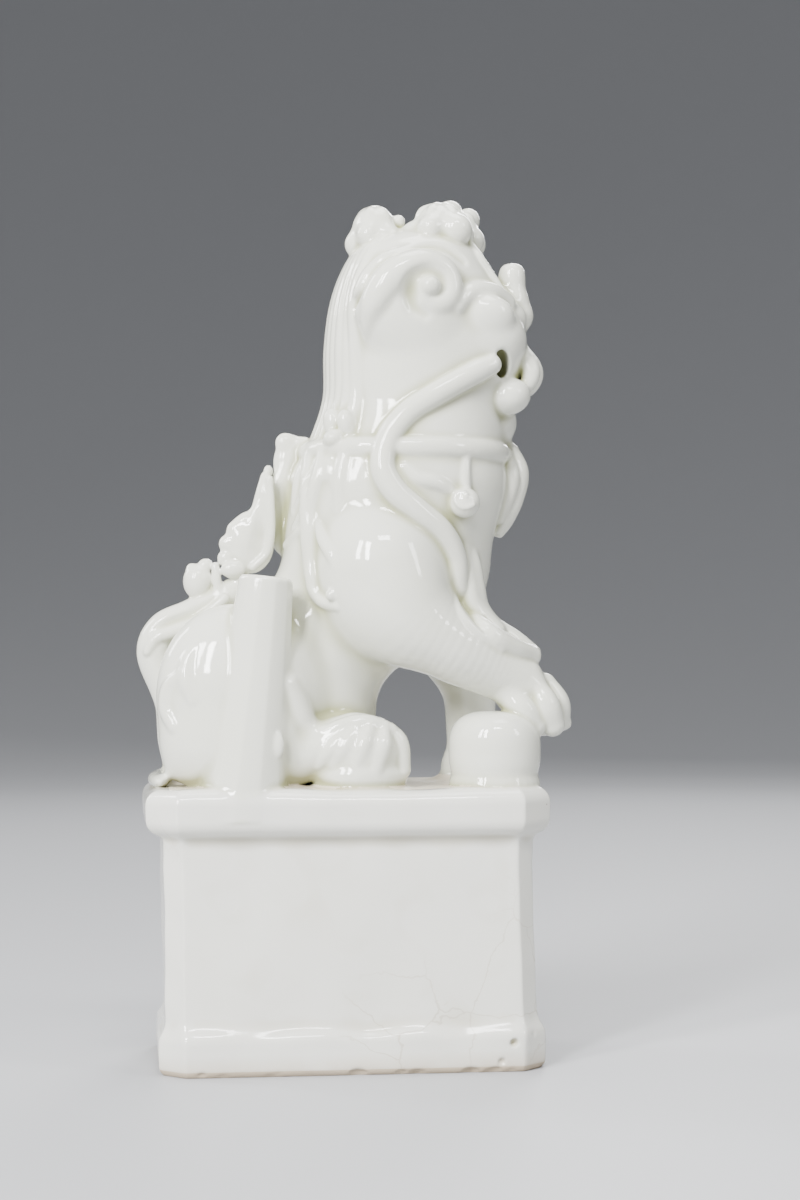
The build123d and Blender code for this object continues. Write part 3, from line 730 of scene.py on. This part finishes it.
# === drawing the surface off the grid =================================================
def surface(d):
    """Vertices in grid cells and quads of the field's zero surface (naive surface nets)."""
    inside = d < 0
    n = np.array(d.shape) - 1
    corners = [
        inside[i : i + n[0], j : j + n[1], k : k + n[2]]
        for i in (0, 1) for j in (0, 1) for k in (0, 1)
    ]
    some, every = corners[0].copy(), corners[0].copy()
    for c in corners[1:]:
        some |= c
        every &= c
    cells = np.argwhere(some & ~every)
    number = np.full(tuple(n), -1, np.int32)
    number[tuple(cells.T)] = np.arange(len(cells))
    offsets = np.array([(i, j, k) for i in (0, 1) for j in (0, 1) for k in (0, 1)])
    values = np.stack([d[tuple((cells + o).T)] for o in offsets], 1)
    total_point, crossings = np.zeros((len(cells), 3)), np.zeros(len(cells))
    for a in range(8):
        for b in range(a + 1, 8):
            if np.abs(offsets[a] - offsets[b]).sum() != 1:
                continue
            va, vb = values[:, a], values[:, b]
            crossed = (va < 0) != (vb < 0)
            t = np.where(crossed, va / np.where(crossed, va - vb, 1), 0)
            point = offsets[a] + t[:, None] * (offsets[b] - offsets[a])
            total_point += point * crossed[:, None]
            crossings += crossed
    vertices = cells + total_point / crossings[:, None]
    quads, homes = [], []
    for axis_index in range(3):
        a, b = [i for i in range(3) if i != axis_index]
        shift = [0, 0, 0]
        shift[axis_index] = 1
        one = inside[tuple(slice(1 if i != axis_index else 0, -1) for i in range(3))]
        two = inside[tuple(slice(1, -1 if i != axis_index else None) for i in range(3))]
        at = np.argwhere(one != two)
        base = at + np.array([0 if i == axis_index else 1 for i in range(3)])
        inner = one[tuple(at.T)]
        ea, eb = np.eye(3, dtype=int)[a], np.eye(3, dtype=int)[b]
        ring = [base - ea - eb, base - eb, base, base - ea]
        quad = np.stack([number[tuple(r.T)] for r in ring], 1)
        outward = inner if axis_index != 1 else ~inner
        quad = np.where(outward[:, None], quad, quad[:, ::-1])
        quads.append(quad)
        homes.append(np.where(inner[:, None], base, base + np.array(shift)))
    return vertices, np.vstack(quads), np.vstack(homes)


def slope(values, points, width=1.0):
    """The direction in which a grid's values rise fastest, at points in grid cells."""
    out = np.zeros((len(points), 3))
    for i in range(3):
        step = np.eye(3)[i] * width
        out[:, i] = sample(values, points + step) - sample(values, points - step)
    return out / np.maximum(np.linalg.norm(out, axis=1, keepdims=True), 1e-9)


def blurred(values, radius):
    """The values after two box blurs along each axis, with a radius in mm."""
    r = max(1, int(round(radius / STEP)))
    out = values.astype(np.float32)
    for axis_index in range(3):
        for _ in range(2):
            pad = [(r + 1, r) if i == axis_index else (0, 0) for i in range(3)]
            run = np.cumsum(np.pad(out, pad, mode="edge"), axis=axis_index, dtype=np.float32)
            n = out.shape[axis_index]
            hi = [slice(None)] * 3
            lo = [slice(None)] * 3
            hi[axis_index] = slice(2 * r + 1, 2 * r + 1 + n)
            lo[axis_index] = slice(0, n)
            out = (run[tuple(hi)] - run[tuple(lo)]) / (2 * r + 1)
    return out


SHARP, BROAD = 1.6, 4.6  # radii over which hollows are felt for the glaze's pooling and its painted shade, mm
BROAD_SHARE = 0.45  # how much broad hollows count, beside sharp ones, in the pooled tint and painted shade
vertices, quads, homes = surface(total.d)
for _ in range(2):
    vertices -= slope(total.d, vertices) * (sample(total.d, vertices) / STEP)[:, None]
normals = slope(total.d, vertices)
solid = total.d < 0
# how hollow the clay is at each vertex: it darkens the glaze there, partly as pooled glaze and
# partly as painted shade in creases and hollows
glaze_pool_and_shade = sample(blurred(solid, SHARP), vertices)
glaze_pool_and_shade += BROAD_SHARE * np.maximum(sample(blurred(solid, BROAD), vertices) - 0.5, 0)
points = GRID_LOW + vertices * STEP
points[:, 2] = np.maximum(points[:, 2], 0.0)
face_owner = owner[tuple(homes.T)]

TOP_MOULDING_LOW, DECK_LOW = 47.4, 52.2  # heights where the plinth's pieces meet, mm
FOOT_MOULDING_HIGH, FOOT_RIM = 9.9, 1.2
SHELL = 0.6  # thickness of each piece's glazed shell, mm


def plinth_owner(p):
    """The plinth's piece under each face, from the face's place."""
    x, y, z = p.T
    along = (np.abs(x) - WALL_X) > (np.abs(y) - WALL_Y)
    side = np.where(along, np.where(x > 0, "front", "rear"), np.where(y < 0, "right", "left"))

    def outside(margin):
        return (np.abs(x) > WALL_X - margin) | (np.abs(y) > WALL_Y - margin)

    kind = np.full(len(p), "plinth_wall_", dtype=object)
    kind[(z > TOP_MOULDING_LOW) & outside(1.5)] = "top_moulding_"
    kind[(z < FOOT_MOULDING_HIGH) & outside(0.4)] = "foot_moulding_"
    names = kind + side.astype(object)
    names[(z > DECK_LOW) & ~outside(1.5)] = "plinth_deck"
    names[z < FOOT_RIM] = "foot_rim"
    return names


def settled(ids, faces, passes=8):
    """The pieces' numbers, once each face with three neighbours of another piece joins it."""
    edge = np.sort(np.stack([faces, np.roll(faces, -1, axis=1)], 2).reshape(-1, 2), axis=1)
    key = edge[:, 0].astype(np.int64) * (int(faces.max()) + 1) + edge[:, 1]
    order = np.argsort(key, kind="stable")
    twin = key[order][:-1] == key[order][1:]
    first, second = order[:-1][twin], order[1:][twin]
    beside = np.repeat(np.arange(len(faces)), 4)
    beside[first], beside[second] = second // 4, first // 4
    beside = beside.reshape(-1, 4)
    for _ in range(passes):
        around = ids[beside]
        votes = (around[:, :, None] == around[:, None, :]).sum(2)
        winner = around[np.arange(len(ids)), votes.argmax(1)]
        ids = np.where(votes.max(1) >= 3, winner, ids)
    return ids


def glazed_shell(node, faces, material):
    """One piece: its share of the outside, the same set inwards, and a rim between."""
    used, index = np.unique(faces, return_inverse=True)
    outer = index.reshape(-1, 4)
    n = len(used)
    inner = outer[:, ::-1] + n
    start, end = outer.ravel(), np.roll(outer, -1, axis=1).ravel()
    forward, back = start * n + end, end * n + start
    lone = ~np.isin(forward, back)
    a, b = start[lone], end[lone]
    rim = np.stack([b, a, a + n, b + n], 1)
    every = np.vstack([outer, inner, rim]).astype(np.int32)
    out_points, out_normals = points[used], normals[used]
    where = np.vstack([out_points, out_points - SHELL * out_normals]) * MM
    mesh = bpy.data.meshes.new("glazed_" + node)
    mesh.vertices.add(len(where))
    mesh.vertices.foreach_set("co", where.astype(np.float32).ravel())
    mesh.loops.add(every.size)
    mesh.loops.foreach_set("vertex_index", every.ravel())
    mesh.polygons.add(len(every))
    mesh.polygons.foreach_set("loop_start", np.arange(0, every.size, 4, dtype=np.int32))
    mesh.polygons.foreach_set("use_smooth", np.ones(len(every), bool))
    mesh.update(calc_edges=True)
    flat = where[every[len(outer) + len(inner):]]
    across = np.cross(flat[:, 2] - flat[:, 0], flat[:, 3] - flat[:, 1])
    across /= np.maximum(np.linalg.norm(across, axis=1, keepdims=True), 1e-12)
    corner_normals = np.vstack([
        out_normals[outer.ravel()],
        -out_normals[inner.ravel() - n],
        np.repeat(across, 4, axis=0),
    ])
    mesh.normals_split_custom_set(corner_normals)
    # the hollowness at each vertex, which the glaze turns into pooled tint and painted shade
    attribute = mesh.attributes.new("glaze_pool_and_shade", "FLOAT", "POINT")
    attribute.data.foreach_set("value", np.tile(glaze_pool_and_shade[used], 2).astype(np.float32))
    mesh.materials.append(material)
    shell = bpy.data.objects.new("glazed_" + node, mesh)
    bpy.context.scene.collection.objects.link(shell)
    return shell


names = np.array(["plinth"] + [p[0] for p in pieces], dtype=object)[face_owner]
centres = points[quads].mean(1)
is_body = names == "body"
names[is_body] = np.where(centres[is_body, 1] < 0, "body_right_half", "body_left_half")
is_plinth = names == "plinth"
names[is_plinth] = plinth_owner(centres[is_plinth])
labels, label_ids = np.unique(names.astype(str), return_inverse=True)
names = labels[settled(label_ids, quads)]


# === materials ========================================================================
def new_material(name):
    """A new material with its nodes and their links."""
    material = bpy.data.materials.new(name)
    material.use_nodes = True
    return material, material.node_tree.nodes, material.node_tree.links


def glaze(name, body_colour, pooled_and_shaded_colour, roughness, specks, crackle):
    """A thick white glaze: tinted darker and olive in hollows, partly for the glaze that pools
    there and partly as painted shade, uneven, with a few pits.

    Specks sets how close the pits lie. Crackle, from 0 to 1, sets how dark the crazing is,
    and without any the foot has no stain either.
    """
    material, nodes, links = new_material(name)
    shader = nodes["Principled BSDF"]
    place = nodes.new("ShaderNodeTexCoord").outputs["Object"]

    def texture(kind, scale, vector=place):
        node = nodes.new(kind)
        node.inputs["Scale"].default_value = scale
        links.new(vector, node.inputs["Vector"])
        return node

    def noise(scale, detail=2.0):
        node = texture("ShaderNodeTexNoise", scale)
        node.inputs["Detail"].default_value = detail
        return node

    def ramp(value, low, high, bottom=0.0, top=1.0):
        """The value rescaled, so that low gives bottom and high gives top."""
        node = nodes.new("ShaderNodeMapRange")
        sockets = ("From Min", "From Max", "To Min", "To Max")
        for socket, number in zip(sockets, (low, high, bottom, top)):
            node.inputs[socket].default_value = number
        links.new(value, node.inputs["Value"])
        return node.outputs["Result"]

    def product(a, b):
        node = nodes.new("ShaderNodeMath")
        node.operation = "MULTIPLY"
        links.new(a, node.inputs[0])
        links.new(b, node.inputs[1])
        return node.outputs["Value"]

    def tinted(under, colour, amount):
        """A colour laid over the colour under it, as far as amount says."""
        node = nodes.new("ShaderNodeMix")
        node.data_type = "RGBA"
        node.inputs["B"].default_value = (*colour, 1)
        links.new(amount, node.inputs["Factor"])
        if isinstance(under, tuple):
            node.inputs["A"].default_value = (*under, 1)
        else:
            links.new(under, node.inputs["A"])
        return node.outputs["Result"]

    cloud = noise(55.0, 3.0).outputs["Fac"]
    dull = (*(c * 0.93 for c in body_colour[:2]), body_colour[2] * 0.88)
    colour = tinted(body_colour, dull, cloud)
    # the colour goes darker and olive in hollows: partly glaze pooling there, partly painted shade
    pool_and_shade_attribute = nodes.new("ShaderNodeAttribute")
    pool_and_shade_attribute.attribute_name = "glaze_pool_and_shade"
    colour = tinted(colour, pooled_and_shaded_colour, ramp(pool_and_shade_attribute.outputs["Fac"], 0.515, 0.72))

    pits = texture("ShaderNodeTexVoronoi", specks)
    rare = nodes.new("ShaderNodeMath")
    rare.operation = "GREATER_THAN"
    rare.inputs[1].default_value = 0.72
    links.new(pits.outputs["Color"], rare.inputs[0])
    pit = product(ramp(pits.outputs["Distance"], 0.035, 0.02), rare.outputs["Value"])
    colour = tinted(colour, (0.16, 0.10, 0.06), pit)

    if crackle:
        bend = noise(90.0, 4.0)
        bent = nodes.new("ShaderNodeMix")
        bent.data_type = "VECTOR"
        bent.inputs["Factor"].default_value = 0.012
        links.new(place, bent.inputs["A"])
        links.new(bend.outputs["Color"], bent.inputs["B"])
        cells = texture("ShaderNodeTexVoronoi", 75.0, bent.outputs["Result"])
        cells.feature = "DISTANCE_TO_EDGE"
        line = ramp(cells.outputs["Distance"], 0.016, 0.004)
        patch = ramp(noise(26.0).outputs["Fac"], 0.52, 0.66, top=crackle)
        colour = tinted(colour, (0.42, 0.37, 0.29), product(line, patch))
        height = nodes.new("ShaderNodeSeparateXYZ")
        links.new(place, height.inputs["Vector"])
        foot = ramp(height.outputs["Z"], 0.0045, 0.0008)
        colour = tinted(colour, (0.42, 0.33, 0.22), product(foot, bend.outputs["Fac"]))
    links.new(colour, shader.inputs["Base Color"])

    bump = nodes.new("ShaderNodeBump")
    bump.inputs["Strength"].default_value = 0.25
    bump.inputs["Distance"].default_value = 0.0002
    links.new(noise(260.0).outputs["Fac"], bump.inputs["Height"])
    links.new(bump.outputs["Normal"], shader.inputs["Normal"])
    gloss = ramp(cloud, 0.0, 1.0, roughness * 0.7, roughness * 1.5)
    links.new(gloss, shader.inputs["Roughness"])
    shader.inputs["IOR"].default_value = 1.5
    return material


# each glaze's second colour is the darker tint in hollows: partly pooled glaze, partly painted
# shade
lion_glaze = glaze(
    "lion_glaze", (0.70, 0.705, 0.635), (0.36, 0.365, 0.21),
    roughness=0.06, specks=55.0, crackle=0.0,
)
plinth_glaze = glaze(
    "plinth_glaze", (0.71, 0.705, 0.665), (0.42, 0.38, 0.25),
    roughness=0.09, specks=160.0, crackle=0.5,
)
deck_glaze = glaze(
    "deck_biscuit", (0.66, 0.60, 0.50), (0.58, 0.52, 0.41),
    roughness=0.35, specks=220.0, crackle=0.0,
)
bare_clay = glaze(
    "bare_clay", (0.46, 0.38, 0.29), (0.26, 0.19, 0.13),
    roughness=0.75, specks=320.0, crackle=0.0,
)

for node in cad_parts:
    mask = names == node
    if not mask.any():
        raise RuntimeError(f"no clay for {node}")
    if node == "plinth_deck":
        material, slot = deck_glaze, "deck_biscuit"
    elif node == "foot_rim":
        material, slot = bare_clay, "deck_biscuit"
    elif node.startswith(("plinth_", "top_", "foot_")):
        material, slot = plinth_glaze, "plinth_glaze"
    else:
        material, slot = lion_glaze, "white_glaze"
    shell = glazed_shell(node, quads[mask], material)
    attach(shell, "root")
    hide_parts(node)

# === floor, light and camera ==========================================================
FLAT, TURN, WALL = 1.0, 2.2, 0.3  # the studio floor's flat radius, its turn up, and its wall, m
SIDES_ROUND = 96
FLOOR_COLOUR = (0.40, 0.405, 0.42, 1)
SKY_COLOUR, SKY_STRENGTH = (0.92, 0.95, 1.0, 1), 0.24
profile = [(0.0, 0.0), (0.4, 0.0), (FLAT, 0.0)]
profile += [
    (FLAT + TURN * math.sin(a), TURN * (1 - math.cos(a)))
    for a in np.linspace(0, math.pi / 2, 33)[1:]
]
profile.append((FLAT + TURN, TURN + WALL))
floor_points, floor_faces = [(0, 0, 0)], []
for i, (r, z) in enumerate(profile[1:]):
    for j in range(SIDES_ROUND):
        a = 2 * math.pi * j / SIDES_ROUND
        floor_points.append((r * math.cos(a), r * math.sin(a), z))
        here, after = 1 + i * SIDES_ROUND + j, 1 + i * SIDES_ROUND + (j + 1) % SIDES_ROUND
        if i == 0:
            floor_faces.append((0, here, after))
        else:
            floor_faces.append((here - SIDES_ROUND, here, after, after - SIDES_ROUND))
floor_mesh = bpy.data.meshes.new("floor")
floor_mesh.from_pydata(floor_points, [], floor_faces)
floor_mesh.polygons.foreach_set("use_smooth", np.ones(len(floor_faces), bool))
floor = bpy.data.objects.new("floor", floor_mesh)
bpy.context.scene.collection.objects.link(floor)
floor_paint, nodes, _ = new_material("floor_paint")
nodes["Principled BSDF"].inputs["Base Color"].default_value = FLOOR_COLOUR
nodes["Principled BSDF"].inputs["Roughness"].default_value = 0.55
floor_mesh.materials.append(floor_paint)

world = bpy.data.worlds.new("studio")
world.use_nodes = True
sky = world.node_tree.nodes["Background"].inputs
sky["Color"].default_value, sky["Strength"].default_value = SKY_COLOUR, SKY_STRENGTH
bpy.context.scene.world = world


def softbox(name, place, aim, width, height, watts, colour=(1, 1, 1)):
    """A rectangular soft light, aimed at a point. Places are in metres."""
    light = bpy.data.lights.new(name, "AREA")
    light.shape = "RECTANGLE"
    light.size, light.size_y, light.energy, light.color = width, height, watts, colour
    lamp = bpy.data.objects.new(name, light)
    lamp.location = place
    lamp.rotation_euler = (Vector(aim) - Vector(place)).to_track_quat("-Z", "Y").to_euler()
    lamp.visible_camera = False
    bpy.context.scene.collection.objects.link(lamp)


MIDDLE = (0, 0, 0.10)  # where the lamps aim
softbox("key_near", (-0.40, -0.66, 0.52), MIDDLE, 0.10, 0.42, 13.5)
softbox("key_far", (-0.56, -0.54, 0.52), MIDDLE, 0.10, 0.42, 10.5)
softbox("fill", (0.88, -0.62, 0.66), MIDDLE, 0.16, 0.44, 5.0)
softbox("high_front", (0.02, -0.62, 0.86), MIDDLE, 0.30, 0.12, 6.0)
softbox("top", (0.10, 0.05, 0.90), MIDDLE, 0.5, 0.35, 5.0)
softbox("back", (0.3, 0.8, 0.6), MIDDLE, 0.3, 0.5, 6.0)
softbox("rear", (-0.80, 0.50, 0.66), MIDDLE, 0.2, 0.44, 6.0)

CAMERA_PLACE = (-0.04653, -0.48224, 0.0840)
CAMERA_YAW, CAMERA_PITCH = 7.0, 1.37  # degrees towards the lion's front, and upwards
SENSOR, LENS = 36.0, 69.0  # mm
camera_data = bpy.data.cameras.new("camera")
camera_data.sensor_width, camera_data.lens = SENSOR, LENS
camera_data.clip_start, camera_data.clip_end = 0.01, 20.0
camera = bpy.data.objects.new("camera", camera_data)
camera.location = CAMERA_PLACE
camera.rotation_euler = (math.radians(90 + CAMERA_PITCH), 0, math.radians(-CAMERA_YAW))
bpy.context.scene.collection.objects.link(camera)
bpy.context.scene.camera = camera
